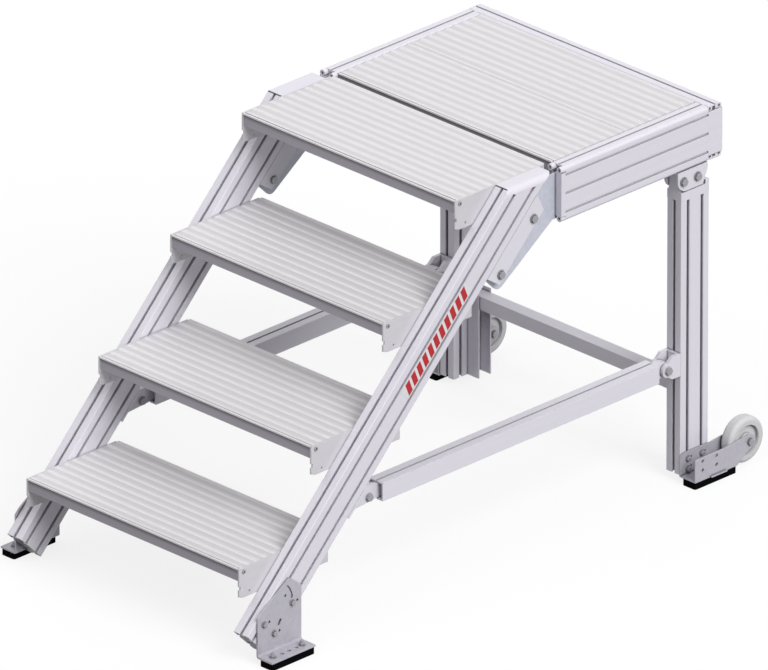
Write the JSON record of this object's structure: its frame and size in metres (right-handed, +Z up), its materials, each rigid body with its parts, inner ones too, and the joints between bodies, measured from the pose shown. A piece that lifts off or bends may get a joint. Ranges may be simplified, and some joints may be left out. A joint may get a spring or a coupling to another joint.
{
  "type": "mobile platform ladder",
  "caption": "Aluminium platform steps with ribbed treads on slanted slotted profiles, a ribbed standing platform, rubber feet and small tilt-and-roll wheels at the rear.",
  "frame": {"origin": "on the floor at the middle of the footprint's box", "axes": "+Z up, +Y the climbing direction, +X to the climber's right"},
  "size_m": [0.79, 1.4418, 0.813],
  "materials": {
    "profile": "plain extruded, satin",
    "tread": "ribbed, satin",
    "cheek": "sheet, satin",
    "sheet": "galvanised",
    "fastener": "zinc plated",
    "pad": "matt black",
    "wheel": "pale grey polyamide"
  },
  "bodies": {
    "frame": {"stringer_right": "profile", "stringer_left": "profile", "stringer_cap_right": "profile", "stringer_cap_left": "profile", "head_channel_right": "profile", "head_channel_left": "profile", "web_plate_right": "sheet", "web_plate_left": "sheet", "head_bolts_right": "fastener", "head_bolts_left": "fastener", "platform_side_right": "profile", "platform_side_left": "profile", "rear_leg_right": "profile", "rear_leg_left": "profile", "leg_head_right": "profile", "leg_head_left": "profile", "leg_bracket_right": "profile", "leg_bracket_left": "profile", "leg_bolts_right": "fastener", "leg_bolts_left": "fastener", "side_brace_right": "profile", "side_brace_left": "profile", "brace_front_joint_right": "profile", "brace_front_joint_left": "profile", "brace_rear_joint_right": "profile", "brace_rear_joint_left": "profile", "leg_channel_right": "profile", "leg_channel_left": "profile", "front_foot_right": "sheet", "front_foot_left": "sheet", "front_pad_right": "pad", "front_pad_left": "pad", "wheel_bracket_right": "sheet", "wheel_bracket_left": "sheet", "rear_pad_right": "pad", "rear_pad_left": "pad", "wheel_axle_right": "fastener", "wheel_axle_left": "fastener", "platform_rear": "profile", "platform_end_plates": "profile", "platform_front_beam": "profile", "deck_plank_1": "tread", "deck_plank_2": "tread", "cross_beam": "profile", "step_1": "tread", "step_1_cheeks": "cheek", "step_2": "tread", "step_2_cheeks": "cheek", "step_3": "tread", "step_3_cheeks": "cheek", "step_4": "tread", "step_4_cheeks": "cheek"},
    "wheel_right": {"wheel_right": "wheel"},
    "wheel_left": {"wheel_left": "wheel"}
  },
  "joints": [
    {"name": "wheel_right_spin", "type": "hinge", "parent": "frame", "child": "wheel_right", "pos_m": [0.3665, 0.67088, 0.057], "axis": [1, 0, 0], "continuous": true},
    {"name": "wheel_left_spin", "type": "hinge", "parent": "frame", "child": "wheel_left", "pos_m": [-0.3665, 0.67088, 0.057], "axis": [1, 0, 0], "continuous": true}
  ]
}
